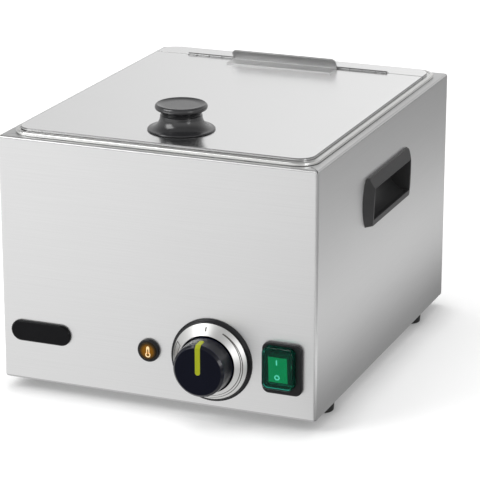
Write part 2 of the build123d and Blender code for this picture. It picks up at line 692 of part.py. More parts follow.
def lid_stop():
    """The bent plate on the lid that lands on the rear strip when the lid is fully open."""
    crease = HINGE_Y - HINGE_GAP - 0.2
    lean = math.radians(STOP_LEAN)
    back = Vector(-math.cos(lean), math.sin(lean))
    front = Vector(-math.sin(lean), -math.cos(lean))
    inner = STOP_SHEET / math.tan(lean / 2)
    points = [(-STOP_FOOT, 0), (0, 0), (back.X * STOP_FLAP, back.Y * STOP_FLAP),
              (back.X * STOP_FLAP + front.X * STOP_SHEET, back.Y * STOP_FLAP + front.Y * STOP_SHEET),
              (-inner, STOP_SHEET), (-STOP_FOOT, STOP_SHEET)]
    section = make_face(Plane.YZ * Polyline(*points, close=True))
    body = Pos(0, crease, LID_TOP_Z) * extrude(section, STOP_WIDTH / 2, both=True)
    tips = [e for e in body.edges() if abs(e.length - STOP_SHEET) < 0.01 and e.center().Z > LID_TOP_Z + 5]
    body = fillet(tips, 4.0)
    bend = [e for e in body.edges() if e.length > STOP_WIDTH - 1 and abs(e.center().Z - LID_TOP_Z) < 0.01
            and abs(e.center().Y - crease) < 0.01]
    return fillet(bend, 0.9)


def lid_knob():
    flange = Polyline((2.6, 0), (27.2, 0), (28, 0.7), (27.4, 1.4))
    sweep_in = ThreePointArc((27.4, 1.4), (20.4, 4.6), (17.6, 10.0))
    neck = Polyline((17.6, 10.0), (17.4, 12.4), (16.0, 13.2))
    flare = ThreePointArc((16.0, 13.2), (18.0, 15.6), (21.0, 17.4))
    rim = ThreePointArc((21.0, 17.4), (21.7, 19.6), (20.0, 21.8))
    dish = ThreePointArc((20.0, 21.8), (17.0, 20.9), (13.0, 20.6))
    bore = Polyline((13.0, 20.6), (0, 20.6), (0, 14), (2.6, 14), (2.6, 0))
    return revolved(flange + sweep_in + neck + flare + rim + dish + bore, Pos(0, KNOB_Y, LID_TOP_Z))


def lid_knob_screw():
    low = LID_TOP_Z - SHEET
    head = bar(4.2, (0, KNOB_Y, low - 2.0), (0, KNOB_Y, low))
    head = fillet(head.edges().sort_by(Axis.Z)[0], 1.2)
    return head + bar(2.2, (0, KNOB_Y, low - 0.5), (0, KNOB_Y, LID_TOP_Z + 12))


NODES = {
    "housing_wrap": housing_wrap,
    "rear_panel": rear_panel,
    "rear_screws": rear_screws,
    "base_plate": base_plate,
    "foot_screws": foot_screws,
    "foot_nuts": foot_nuts,
    "water_well": water_well,
    "heat_spreader": heat_spreader,
    "heater_element": heater_element,
    "heater_straps": heater_straps,
    "strap_studs": strap_studs,
    "strap_nuts": strap_nuts,
    "overheat_cutout": overheat_cutout,
    "thermostat_body": thermostat_body,
    "thermostat_screws": thermostat_screws,
    "sensor_bulb": sensor_bulb_and_capillary,
    "bulb_clips": bulb_clips,
    "thermostat_spindle": thermostat_spindle,
    "thermostat_knob": thermostat_knob,
    "knob_pointer": knob_pointer,
    "dial_bezel": dial_bezel,
    "dial_scale": dial_scale,
    "lamp_bezel": lamp_bezel,
    "lamp_lens": lamp_lens,
    "lamp_body": lamp_body,
    "lamp_nut": lamp_nut,
    "switch_frame": switch_frame,
    "switch_cover": switch_cover,
    "switch_body": switch_body,
    "switch_rocker": switch_rocker,
    "badge_plate": badge_plate,
    "handle_cup_right": handle_cup_right,
    "handle_cup_left": handle_cup_left,
    "terminal_block": terminal_block,
    "terminal_screws": terminal_screws,
    "earth_stud": earth_stud,
    "cable_gland": cable_gland,
    "gland_locknut": gland_locknut,
    "wire_live": wire_live,
    "wire_neutral": wire_neutral,
    "wire_to_thermostat": wire_to_thermostat,
    "wire_to_cutout": wire_to_cutout,
    "wire_to_heater": wire_to_heater,
    "wire_return": wire_return,
    "wire_earth": wire_earth,
    "food_container": food_container,
    "lid_strip": lid_strip,
    "hinge_pin": hinge_pin,
    "lid_panel": lid_panel,
    "lid_stop": lid_stop,
    "lid_knob": lid_knob,
    "lid_knob_screw": lid_knob_screw,
}

for node, build in NODES.items():
    save(node, build())

for name, (x, y) in zip(("front_left", "rear_left", "front_right", "rear_right"), foot_places()):
    save(f"foot_{name}", foot(x, y))

save("hinge_leaf_strip", hinge_leaf(1, 0))
save("hinge_leaf_lid", hinge_leaf(-1, 1))
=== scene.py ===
# %% [markdown]
# # A counter-top sausage warmer, dressed in Blender
# The solids of this warmer come from a CAD program: a steel housing with a water well, a
# lift-out food container, a hinged lid and the controls on the front. They stand in Blender
# as a fixed frame, in metres, and are never moved or reshaped here.
# What this lesson adds is what CAD doesn't hold: the grain of ground steel, the skin of
# moulded plastic, a clear green cap, the printed marks, and the studio round the object.

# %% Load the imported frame
import math
import bpy
from mathutils import Matrix, Vector


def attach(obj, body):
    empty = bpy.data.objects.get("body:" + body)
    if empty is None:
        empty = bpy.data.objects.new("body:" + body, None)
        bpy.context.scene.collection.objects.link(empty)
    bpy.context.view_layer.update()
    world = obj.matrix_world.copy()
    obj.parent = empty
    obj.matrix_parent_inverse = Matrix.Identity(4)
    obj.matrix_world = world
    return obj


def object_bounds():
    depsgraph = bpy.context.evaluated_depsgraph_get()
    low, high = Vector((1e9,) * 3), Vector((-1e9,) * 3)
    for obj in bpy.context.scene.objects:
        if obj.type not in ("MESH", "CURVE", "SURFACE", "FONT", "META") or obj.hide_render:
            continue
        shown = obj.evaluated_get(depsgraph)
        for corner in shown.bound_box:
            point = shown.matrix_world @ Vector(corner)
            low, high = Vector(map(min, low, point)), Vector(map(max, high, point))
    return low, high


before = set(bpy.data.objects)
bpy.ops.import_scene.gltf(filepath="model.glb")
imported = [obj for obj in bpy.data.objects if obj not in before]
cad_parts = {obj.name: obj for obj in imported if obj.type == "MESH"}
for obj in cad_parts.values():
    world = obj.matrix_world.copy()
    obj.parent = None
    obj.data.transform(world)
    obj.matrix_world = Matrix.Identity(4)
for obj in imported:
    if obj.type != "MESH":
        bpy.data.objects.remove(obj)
cad_low, cad_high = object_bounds()
print("CAD box", [round(v, 4) for v in (*cad_low, *cad_high)])

# %% [markdown]
# ## The camera
# The picture to match was taken a little from the right and from above, from just over two
# metres away with a long lens, so that edges running to the back hardly draw together.
# The place and the turn come from solving the perspective of the housing's edges, and the
# image is taken as square, 480 by 480.

# %% Place the camera
LOOK_DOWN, LOOK_LEFT = 0.3155, 0.3843
camera_data = bpy.data.cameras.new("camera")
camera_data.lens = 178.86
camera_data.sensor_width = 36
camera = bpy.data.objects.new("camera", camera_data)
camera.location = (0.75034, -1.83213, 0.74550)
camera.rotation_euler = (math.pi / 2 - LOOK_DOWN, 0, LOOK_LEFT)
bpy.context.scene.collection.objects.link(camera)
bpy.context.scene.camera = camera
bpy.context.scene.view_settings.view_transform = "Standard"
print("camera", round(camera.location.length, 3), "m from the origin")

# %% [markdown]
# ## Making and joining nodes
# Every finish below is a network of shader nodes. Wiring them one line at a time soon hides
# what the finish does, so a few helpers do the plain work: `add` makes a node and sets its
# values, `feed` joins a socket to another node or gives it a plain value, and `group_tree`
# starts a group that several materials can share.

# %% Helpers that make and join nodes
def add(tree, kind, **values):
    """Adds a node. A value is set on the input of that name, or else on the node itself."""
    node = tree.nodes.new("ShaderNode" + kind)
    for name, value in values.items():
        label = name.replace("_", " ").title()
        if label in node.inputs:
            node.inputs[label].default_value = value
        else:
            setattr(node, name, value)
    return node


def feed(tree, value, socket):
    """Joins a socket to another node's output, or gives it a plain number or colour."""
    if isinstance(value, bpy.types.NodeSocket):
        tree.links.new(value, socket)
    elif socket.type == "RGBA":
        socket.default_value = (*value, 1)
    else:
        socket.default_value = value


def group_tree(name, inputs, outputs):
    """Starts a shader node group, and returns it with the sockets to read and to feed."""
    tree = bpy.data.node_groups.new(name, "ShaderNodeTree")
    for label, value in inputs.items():
        socket = tree.interface.new_socket(label, in_out="INPUT", socket_type="NodeSocketFloat")
        socket.default_value = value
    for label, kind in outputs.items():
        tree.interface.new_socket(label, in_out="OUTPUT", socket_type="NodeSocket" + kind)
    return tree, tree.nodes.new("NodeGroupInput").outputs, tree.nodes.new("NodeGroupOutput").inputs


# %% [markdown]
# ## Working with values
# A pattern is mostly arithmetic on the place and the direction of the surface. Each helper
# here stands for one node that comes back often, and returns the output that is wanted, so
# that one can be written inside another as in a formula. A Mix node has a pair of inputs
# and an output for each kind of data, and uses only those of its own kind.

# %% Helpers for values
MIX_SOCKETS = {"FLOAT": (2, 3, 0), "VECTOR": (4, 5, 1), "RGBA": (6, 7, 2)}


def sums(tree, operation, *values):
    """A Math node on numbers or sockets."""
    node = add(tree, "Math", operation=operation)
    for value, socket in zip(values, node.inputs):
        feed(tree, value, socket)
    return node.outputs[0]


def split(tree, source):
    """The parts of a vector, as outputs named X, Y and Z."""
    node = add(tree, "SeparateXYZ")
    feed(tree, source, node.inputs[0])
    return node.outputs


def join(tree, *values):
    """A vector from up to three values."""
    node = add(tree, "CombineXYZ")
    for value, socket in zip(values, node.inputs):
        feed(tree, value, socket)
    return node.outputs[0]


def between(tree, mask, low, high, start=0.0, end=1.0):
    """A value that runs from low to high as the mask runs from start to end."""
    node = add(tree, "MapRange", from_min=start, from_max=end, to_min=low, to_max=high)
    feed(tree, mask, node.inputs["Value"])
    return node.outputs["Result"]


def mix(tree, mask, first, second, kind="RGBA"):
    """A colour, or another kind, that runs from the first to the second with the mask."""
    first_input, second_input, output = MIX_SOCKETS[kind]
    node = add(tree, "Mix", data_type=kind)
    feed(tree, mask, node.inputs[0])
    feed(tree, first, node.inputs[first_input])
    feed(tree, second, node.inputs[second_input])
    return node.outputs[output]


# %% [markdown]
# ## Ground steel: the grain
# The sheets of the housing and lid were ground with a belt. The belt leaves lines that are
# hair-thin across and centimetres long, and they blur a reflection across the lines but
# hardly along them. The lines could be drawn in a picture, but a stretched noise needs no
# picture and no unwrapping: the place on the piece is scaled down along the grain and up
# across it. On the walls the lines lie level, so the noise is fine in z. On faces that lie
# flat, z doesn't change, so there the noise is fine in y. The z of the surface's normal
# tells the two apart: it is 0 on a wall and 1 on the flat, and on a fold it is in between.

# %% Node group: ground_grain
FLAT_FROM, BEND_FROM, BEND_TO = 0.7, 0.12, 0.92
grain_tree, grain_in, grain_out = group_tree(
    "ground_grain",
    {"Lengthwise": 14.0, "Crosswise": 2600.0},
    {"Grain": "Float", "Sheen": "Float", "Flat": "Float", "Bend": "Float"},
)
surface = add(grain_tree, "TexCoord").outputs
level = sums(grain_tree, "ABSOLUTE", split(grain_tree, surface["Normal"])["Z"])
flat = sums(grain_tree, "GREATER_THAN", level, FLAT_FROM)
bend = sums(grain_tree, "MULTIPLY", sums(grain_tree, "GREATER_THAN", level, BEND_FROM),
            sums(grain_tree, "LESS_THAN", level, BEND_TO))
place = split(grain_tree, surface["Object"])
along_x = sums(grain_tree, "MULTIPLY", place["X"], grain_in["Lengthwise"])
along_y = sums(grain_tree, "MULTIPLY", place["Y"], grain_in["Lengthwise"])
across_y = sums(grain_tree, "MULTIPLY", place["Y"], grain_in["Crosswise"])
across_z = sums(grain_tree, "MULTIPLY", place["Z"], grain_in["Crosswise"])
stretched = mix(grain_tree, flat, join(grain_tree, along_x, along_y, across_z),
                join(grain_tree, along_x, across_y), "VECTOR")
lines = add(grain_tree, "TexNoise", scale=1.0, detail=2.0, roughness=0.6)
feed(grain_tree, stretched, lines.inputs["Vector"])
cloudy = add(grain_tree, "TexNoise", scale=9.0, detail=3.0, roughness=0.55)
feed(grain_tree, surface["Object"], cloudy.inputs["Vector"])
made = {"Grain": lines.outputs["Fac"], "Sheen": cloudy.outputs["Fac"], "Flat": flat, "Bend": bend}
for label, output in made.items():
    feed(grain_tree, output, grain_out[label])
print("ground_grain has", len(grain_tree.nodes), "nodes")

# %% [markdown]
# ## Moulded plastic: the skin
# A moulded part copies the fine spark texture of its mould, and handling makes it a little
# shinier in places. A fine noise gives the skin, and a broad one the unevenness.

# %% Node group: moulded_skin
skin_tree, skin_in, skin_out = group_tree(
    "moulded_skin",
    {"Size": 900.0},
    {"Skin": "Float", "Patches": "Float"},
)
place = add(skin_tree, "TexCoord").outputs["Object"]
fine = add(skin_tree, "TexNoise", detail=2.0, roughness=0.5)
feed(skin_tree, skin_in["Size"], fine.inputs["Scale"])
broad = add(skin_tree, "TexNoise", scale=45.0, detail=3.0, roughness=0.5)
for noise, label in ((fine, "Skin"), (broad, "Patches")):
    feed(skin_tree, place, noise.inputs["Vector"])
    feed(skin_tree, noise.outputs["Fac"], skin_out[label])
print("moulded_skin has", len(skin_tree.nodes), "nodes")

# %% [markdown]
# ## Edges that catch the light
# No real edge is sharp: a folded sheet has a radius, and a moulded rim has a tiny one. That
# thin line of light is most of what makes a small part read as real. A Bevel node bends the
# normal near each edge, which costs no faces, and comparing it with the true normal gives a
# mask of where the edges are: the dot product of the two is 1 on a face and less near an
# edge.

# %% Node group: soft_edges
SAME_NORMAL, EDGE_NORMAL = 0.98, 0.75
edge_tree, edge_in, edge_out = group_tree(
    "soft_edges",
    {"Radius": 0.0005},
    {"Normal": "Vector", "Edge": "Float"},
)
rounded = add(edge_tree, "Bevel", samples=6)
feed(edge_tree, edge_in["Radius"], rounded.inputs["Radius"])
feed(edge_tree, rounded.outputs[0], edge_out["Normal"])
alike = add(edge_tree, "VectorMath", operation="DOT_PRODUCT")
feed(edge_tree, rounded.outputs[0], alike.inputs[0])
feed(edge_tree, add(edge_tree, "NewGeometry").outputs["True Normal"], alike.inputs[1])
edge = between(edge_tree, alike.outputs["Value"], 0.0, 1.0, SAME_NORMAL, EDGE_NORMAL)
feed(edge_tree, edge, edge_out["Edge"])
print("soft_edges has", len(edge_tree.nodes), "nodes")

# %% [markdown]
# ## Round an axis
# The dial and the lamp are round and face the front, so their patterns are easiest to write
# from their own axis. Each point of the surface lies some way across, up and outwards from
# it, and these come from its place on the piece.

# %% Helper for round parts
def from_axis(tree, axis_x, axis_z):
    """How far a point lies across, up and outwards from an axis that runs along y."""
    place = split(tree, add(tree, "TexCoord").outputs["Object"])
    across = sums(tree, "SUBTRACT", place["X"], axis_x)
    up = sums(tree, "SUBTRACT", place["Z"], axis_z)
    squares = sums(tree, "ADD", sums(tree, "MULTIPLY", across, across),
                   sums(tree, "MULTIPLY", up, up))
    return across, up, sums(tree, "SQRT", squares)


# %% [markdown]
# ## The dial's print
# The silver ring round the knob carries one short mark at the top and a long crescent in
# thin dark lines, which grows clockwise to show more heat. It is printed, so it has no
# height, and the surface itself can tell where it is by its distance and angle from the
# dial's middle. The share of the crescent's sweep that a point has behind it sets how far
# apart the two lines lie there. The crescent also draws in a little as it grows.

# %% Node group: dial_print
DIAL_X, DIAL_Z = 0.0496, 0.0516
TURN = 2 * math.pi
CRESCENT_START, CRESCENT_SWEEP = math.radians(64.8), math.radians(272)
CRESCENT_RADIUS, CRESCENT_DRAWN_IN = 0.0292, 0.0004
START_HALF, HALF_GROWTH, END_SHARE = 0.0001, 0.0022, 0.995
MARK_ANGLE, MARK_RADIUS = math.radians(94), 0.0287
MARK_HALF_WIDTH, MARK_HALF_LENGTH = 0.0006, 0.0014
print_tree, print_in, print_out = group_tree("dial_print", {"Line": 0.00027}, {"Print": "Float"})


def calc(operation, *values):
    """A Math node of this group."""
    return sums(print_tree, operation, *values)


across, up, radius = from_axis(print_tree, DIAL_X, DIAL_Z)
angle = calc("ARCTAN2", up, across)
turned = calc("FRACT", calc("DIVIDE", calc("SUBTRACT", CRESCENT_START, angle), TURN))
share = calc("MULTIPLY", turned, TURN / CRESCENT_SWEEP)
middle = calc("SUBTRACT", CRESCENT_RADIUS, calc("MULTIPLY", share, CRESCENT_DRAWN_IN))
half = calc("ADD", START_HALF, calc("MULTIPLY", share, HALF_GROWTH))
from_middle = calc("ABSOLUTE", calc("SUBTRACT", radius, middle))
from_line = calc("ABSOLUTE", calc("SUBTRACT", from_middle, half))
in_sweep = calc("LESS_THAN", share, 1.0)
two_lines = calc("MULTIPLY", calc("LESS_THAN", from_line, print_in["Line"]), in_sweep)
at_end = calc("MULTIPLY", calc("GREATER_THAN", share, END_SHARE), in_sweep)
end_line = calc("MULTIPLY", calc("LESS_THAN", from_middle, half), at_end)
beside_mark = calc("MULTIPLY", calc("ABSOLUTE", calc("SUBTRACT", angle, MARK_ANGLE)), radius)
along_mark = calc("ABSOLUTE", calc("SUBTRACT", radius, MARK_RADIUS))
mark = calc("MULTIPLY", calc("LESS_THAN", beside_mark, MARK_HALF_WIDTH),
            calc("LESS_THAN", along_mark, MARK_HALF_LENGTH))
feed(print_tree, calc("MAXIMUM", calc("MAXIMUM", two_lines, end_line), mark), print_out["Print"])
print("dial_print has", len(print_tree.nodes), "nodes")

# %% [markdown]
# ## A start for every material
# Each finish below is one Principled shader, kept under its name in `finishes`. The first
# helper makes the material and hands over its tree and shader, and the others do what
# several finishes share: place a group, make a colour uneven, and lay a fine relief or
# another colour over what is there.

# %% Helpers for materials
finishes = {}


def finish_of(name, **values):
    """A new material with a Principled shader whose own sockets are set to the values."""
    material = bpy.data.materials.new(name)
    material.use_nodes = True
    finishes[name] = material
    tree, shader = opened(name)
    for label, value in values.items():
        shader.inputs[label.replace("_", " ")].default_value = value
    return tree, shader


def opened(name):
    """The tree and the shader of a finish."""
    tree = finishes[name].node_tree
    return tree, tree.nodes["Principled BSDF"]


def place_group(tree, group, **values):
    """Places a node group with its own values, and returns its outputs."""
    node = tree.nodes.new("ShaderNodeGroup")
    node.node_tree = group
    for label, value in values.items():
        node.inputs[label].default_value = value
    return node.outputs


def scaled(colour, factor):
    """The colour made lighter or darker."""
    return tuple(min(1.0, channel * factor) for channel in colour)


def uneven_colour(tree, mask, colour, darker, lighter):
    """The colour, made darker where the mask is 0 and lighter where it is 1."""
    return mix(tree, mask, scaled(colour, darker), scaled(colour, lighter))


def lay_relief(tree, shader, height, normal, strength, depth):
    """Lays a fine relief on a surface with softened edges."""
    bump = add(tree, "Bump", strength=strength, distance=depth)
    feed(tree, height, bump.inputs["Height"])
    feed(tree, normal, bump.inputs["Normal"])
    feed(tree, bump.outputs[0], shader.inputs["Normal"])


def lay_colour(tree, shader, mask, colour):
    """Lays a colour over the shader's own one where the mask is 1."""
    bare = shader.inputs["Base Color"].links[0].from_socket
    feed(tree, mix(tree, mask, bare, colour), shader.inputs["Base Color"])


def blur_round(tree, shader, axis):
    """Gives the stretched blur of a metal its direction, round an axis."""
    direction = add(tree, "Tangent", direction_type="RADIAL", axis=axis)
    feed(tree, direction.outputs[0], shader.inputs["Tangent"])


# %% [markdown]
# ## Steel finishes
# One function makes all the sheet steels, because they differ only in tone, in how blurred
# they are and in which way the belt ran. The Tangent node turns round an axis, and its
# direction on a flat face is the way the blur is stretched: round Z it follows the walls of
# the housing, round Y it runs from side to side on the lid. Each steel also has a painted
# tone for its walls, one for its flats and one for its folds and edges. These paint light
# and shade into the colour: a painted dark line of shade on the folds and on the lid's
# skirt, and painted lighter or darker walls and flats where they catch more or less light.

# %% Make the steels
DARK_LINE, BRIGHT_LINE = 0.93, 1.05
FOLD_RADIUS = 0.0006
GRAIN_STRENGTH, GRAIN_DEPTH = 0.35, 0.00001


def ground_steel(name, colour, roughness, stretch, axis, walls=1.0, flats=1.0, edge=1.0):
    """A belt-ground steel, with lines in its colour and a painted tone of light and shade for each kind
    of face.
    """
    tree, shader = finish_of(name, Metallic=1.0, Anisotropic=stretch)
    grain = place_group(tree, grain_tree)
    edges = place_group(tree, edge_tree, Radius=FOLD_RADIUS)
    # Painted light and shade: walls and flats each get their own tone.
    wall, flat = (uneven_colour(tree, grain["Grain"], colour, DARK_LINE * tone, BRIGHT_LINE * tone)
                  for tone in (walls, flats))
    sheet = mix(tree, grain["Flat"], wall, flat)
    # Painted shade: folds and edges take the darker edge tone.
    fold = sums(tree, "MAXIMUM", edges["Edge"], grain["Bend"])
    feed(tree, mix(tree, fold, sheet, scaled(colour, edge)), shader.inputs["Base Color"])
    blurred = between(tree, grain["Grain"], roughness - 0.04, roughness + 0.05)
    cloudy = between(tree, grain["Sheen"], -0.03, 0.03)
    feed(tree, sums(tree, "ADD", cloudy, blurred), shader.inputs["Roughness"])
    lay_relief(tree, shader, grain["Grain"], edges["Normal"], GRAIN_STRENGTH, GRAIN_DEPTH)
    blur_round(tree, shader, axis)


ground_steel("housing_steel", (0.78, 0.78, 0.78), roughness=0.36, stretch=0.6, axis="Z",
             flats=0.84, edge=0.66)
ground_steel("lid_steel", (0.80, 0.80, 0.80), roughness=0.2, stretch=0.75, axis="Y",
             walls=0.72, edge=0.3)
ground_steel("pan_steel", (0.68, 0.68, 0.67), roughness=0.24, stretch=0.2, axis="Z",
             walls=1.15, flats=0.95, edge=0.9)
ground_steel("hinge_steel", (0.46, 0.46, 0.46), roughness=0.3, stretch=0.5, axis="Y", edge=0.6)
ground_steel("bracket_steel", (0.55, 0.55, 0.55), roughness=0.3, stretch=0.5, axis="Y")
print("steels:", ", ".join(finishes))

# %% [markdown]
# ## Small metals
# Screws and nuts are zinc plated, the heater's sheath is an annealed alloy with a straw
# tint, the sensor's bulb is copper, and the dial's ring and the plate that spreads the heat
# are aluminium. Only the patches of the plastic's group are needed, for their unevenness.

# %% Make the small metals
def small_metal(name, colour, roughness, uneven=0.1):
    """A plated or bare metal with patches in its tone and its roughness."""
    tree, shader = finish_of(name, Metallic=1.0)
    patches = place_group(tree, skin_tree)["Patches"]
    edges = place_group(tree, edge_tree, Radius=0.0002)
    toned = uneven_colour(tree, patches, colour, 1 - uneven, 1 + uneven)
    feed(tree, toned, shader.inputs["Base Color"])
    feed(tree, between(tree, patches, roughness - 0.06, roughness + 0.08), shader.inputs["Roughness"])
    feed(tree, edges["Normal"], shader.inputs["Normal"])


small_metal("zinc_steel", (0.66, 0.67, 0.68), roughness=0.32)
small_metal("heater_tube", (0.42, 0.37, 0.3), roughness=0.42, uneven=0.25)
small_metal("copper", (0.72, 0.4, 0.24), roughness=0.35, uneven=0.2)
small_metal("dial_aluminium", (0.70, 0.70, 0.69), roughness=0.36, uneven=0.03)
print(len(finishes), "finishes with the small metals")

# %% [markdown]
# ## The silver ring
# The ring was turned against fine grit, so its lines run round it and each highlight spreads
# into a wedge. The Tangent node round the dial's own axis, Y, gives that direction. The
# print is laid over the metal: where it is, the surface is dark and no longer metal.

# %% Finish the silver ring
INK = (0.05, 0.045, 0.04)
tree, shader = opened("dial_aluminium")
shader.inputs["Anisotropic"].default_value = 0.6
blur_round(tree, shader, "Y")
printed = place_group(tree, print_tree)["Print"]
lay_colour(tree, shader, printed, INK)
feed(tree, between(tree, printed, 1.0, 0.0), shader.inputs["Metallic"])
print("dial print laid on the silver ring")

# %% [markdown]
# ## Plastics, rubber and ceramic
# These are all one shader too. What sets them apart is colour, how glossy they are and how
# coarse the skin is: the lid's knob is polished phenolic, the handle cups are satin, the
# feet are dull rubber and the terminal block is plain cream plastic. Edges are lighter than
# the rest: partly real wear and partly a painted highlight, strongest on the knob's rim.

# %% Make the plastics
WEAR_AND_HIGHLIGHT_SHARE, SKIN_STRENGTH = 0.5, 0.5


def moulded(name, colour, roughness, gloss=0.5, skin_size=900.0, relief=0.00002,
            edge_radius=0.0004, uneven=0.12, edge_wear_and_highlight=1.5):
    """A moulded material, with a fine skin, patches in its gloss and edges lightened by wear and a
    painted highlight.
    """
    tree, shader = finish_of(name, Specular_IOR_Level=gloss)
    skin = place_group(tree, skin_tree, Size=skin_size)
    edges = place_group(tree, edge_tree, Radius=edge_radius)
    base = uneven_colour(tree, skin["Patches"], colour, 1 - uneven, 1 + uneven)
    wear_and_highlight_mask = sums(tree, "MULTIPLY", edges["Edge"], WEAR_AND_HIGHLIGHT_SHARE)
    feed(tree, mix(tree, wear_and_highlight_mask, base, scaled(colour, edge_wear_and_highlight)), shader.inputs["Base Color"])
    blurred = between(tree, skin["Patches"], roughness - 0.05, roughness + 0.05)
    feed(tree, blurred, shader.inputs["Roughness"])
    lay_relief(tree, shader, skin["Skin"], edges["Normal"], SKIN_STRENGTH, relief)


moulded("black_plastic", (0.019, 0.019, 0.021), 0.3, gloss=0.17, relief=0.000004)
moulded("polished_black", (0.026, 0.026, 0.028), 0.22, gloss=0.7, relief=0.000004)
moulded("handle_plastic", (0.056, 0.056, 0.057), 0.4, gloss=0.15, edge_radius=0.0009, edge_wear_and_highlight=2.4)
# Painted highlight: the knob's edges are made forty times lighter, a light line along its rim.
moulded("knob_plastic", (0.0020, 0.0028, 0.010), 0.3, gloss=0.09, edge_radius=0.0009, edge_wear_and_highlight=40.0)
moulded("pointer_lime", (0.42, 0.46, 0.012), 0.35, gloss=0.2, uneven=0.03, edge_wear_and_highlight=1.1)
moulded("badge_black", (0.006, 0.006, 0.007), 0.2, gloss=0.1, relief=0.000003)
moulded("green_rocker", (0.001, 0.40, 0.2), 0.4, gloss=0.05, uneven=0.04, edge_wear_and_highlight=1.2)
moulded("amber_lens", (0.26, 0.105, 0.004), 0.2, gloss=0.1, relief=0.000003, uneven=0.25, edge_wear_and_highlight=1.1)
moulded("rubber_black", (0.018, 0.018, 0.018), 0.72, gloss=0.3, skin_size=600.0, relief=0.00005)
moulded("block_plastic", (0.8, 0.77, 0.68), 0.45, uneven=0.04, edge_wear_and_highlight=1.1)
moulded("ceramic_white", (0.84, 0.82, 0.78), 0.35, uneven=0.04, edge_wear_and_highlight=1.05)
moulded("wire_brown", (0.16, 0.065, 0.03), 0.5)
moulded("wire_blue", (0.03, 0.12, 0.42), 0.5)
moulded("wire_green", (0.3, 0.52, 0.06), 0.5)
print(len(finishes), "finishes with the plastics")

# %% [markdown]
# ## The knob's polished side
# The knob's face is matt and its flank is polished. A clear coat does that: it has weight
# where the surface turns away from the front, and none on the face. The front looks along
# minus y, so the normal's y is -1 on the face and nearer to 0 on the flank.

# %% Coat the knob's flank
FACE_Y, FLANK_Y, FLANK_COAT = -0.97, -0.8, 0.6


def facing(tree):
    """The y of the surface's normal, which is -1 where it faces the front."""
    return split(tree, add(tree, "TexCoord").outputs["Normal"])["Y"]


tree, shader = opened("knob_plastic")
flank = between(tree, facing(tree), 0.0, FLANK_COAT, FACE_Y, FLANK_Y)
feed(tree, flank, shader.inputs["Coat Weight"])
shader.inputs["Coat Roughness"].default_value = 0.12
print("the knob's flank is coated")

# %% [markdown]
# ## Clear green
# The cap over the switch is clear plastic. Light passes through it and takes its colour, so
# it is a glass shader with a tinted base. Roughness and transmission stay constants, as
# clear plastic is even all through, and a low IOR keeps the room's reflection in it faint.

# %% Make the clear green
tree, shader = finish_of("green_clear", Transmission_Weight=0.97, Roughness=0.05, IOR=1.2,
                         Specular_IOR_Level=0.04)
patches = place_group(tree, skin_tree)["Patches"]
clear_tint = uneven_colour(tree, patches, (0.04, 0.52, 0.37), 0.96, 1.04)
feed(tree, clear_tint, shader.inputs["Base Color"])
print("green_clear made")

# %% [markdown]
# ## The lit rocker
# The rocker behind the cap has a small lamp inside, so its face glows a little by itself,
# while its sides glow less. Its sides also get a darker green base colour: painted shade.

# %% Light the rocker's face
FACE_GLOW, SIDE_GLOW, SHADED_SIDE_GREEN = (0.0, 0.62, 0.28), (0.0, 0.03, 0.015), (0.0, 0.05, 0.03)
LIT_Y, UNLIT_Y = -0.9, -0.5
tree, shader = opened("green_rocker")
sides = between(tree, facing(tree), 0.0, 1.0, LIT_Y, UNLIT_Y)
feed(tree, mix(tree, sides, FACE_GLOW, SIDE_GLOW), shader.inputs["Emission Color"])
shader.inputs["Emission Strength"].default_value = 0.4
# Painted shade: the rocker's sides are given a darker green than its face.
lay_colour(tree, shader, sides, SHADED_SIDE_GREEN)
print("the rocker's face is lit")

# %% [markdown]
# ## The lamp's lens
# The amber lens darkens to brown towards its rim: painted shade where it sits deep in its
# black ring. The distance from the lamp's axis runs the colour from amber to a dark brown.

# %% Darken the lens towards its edge
LAMP_X, LAMP_Z = -0.0059, 0.0523
AMBER_TO, BROWN_FROM, RIM_SHADE_BROWN = 0.0042, 0.0066, (0.045, 0.028, 0.010)
tree, shader = opened("amber_lens")
_, _, outwards = from_axis(tree, LAMP_X, LAMP_Z)
# Painted shade at the lens's rim.
lay_colour(tree, shader, between(tree, outwards, 0.0, 1.0, AMBER_TO, BROWN_FROM), RIM_SHADE_BROWN)
print("lens darkens from", AMBER_TO * 1000, "to", BROWN_FROM * 1000, "mm out")

# %% [markdown]
# ## Give the CAD nodes their finishes
# The record names a finish for each node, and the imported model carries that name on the
# node's material slots, so dressing the whole object is one loop. Three nodes look unlike
# the others of their slot in the picture and get a finish of their own.

# %% Assign the finishes
own_finish = {"lid_knob": "polished_black", "hinge_leaf_lid": "hinge_steel",
              "hinge_leaf_strip": "hinge_steel"}
dressed = 0
for name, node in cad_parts.items():
    for slot in node.material_slots:
        key = own_finish.get(name, slot.material.name.split(".")[0])
        if key in finishes:
            slot.material = finishes[key]
            dressed += 1
print(dressed, "slots dressed on", len(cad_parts), "nodes")

# %% [markdown]
# ## Marks on the lamp and the rocker
# The lamp's lens carries a small thermometer, and the rocker an I for on and an O for off.
# They could be drawn in the material, but a thin inlay has an edge that catches light, as
# print through clear plastic does. Each is a small solid. An operator acts on all that is
# selected, so a mark starts with nothing selected. Its edges or faces are then selected in
# object mode, because what a script selects in edit mode is lost.

# %% Helpers for starting and selecting
def start_mark():
    """Leaves edit mode and selects nothing, so the next operator meets only its own piece."""
    if bpy.context.object and bpy.context.object.mode == "EDIT":
        bpy.ops.object.mode_set(mode="OBJECT")
    bpy.ops.object.select_all(action="DESELECT")


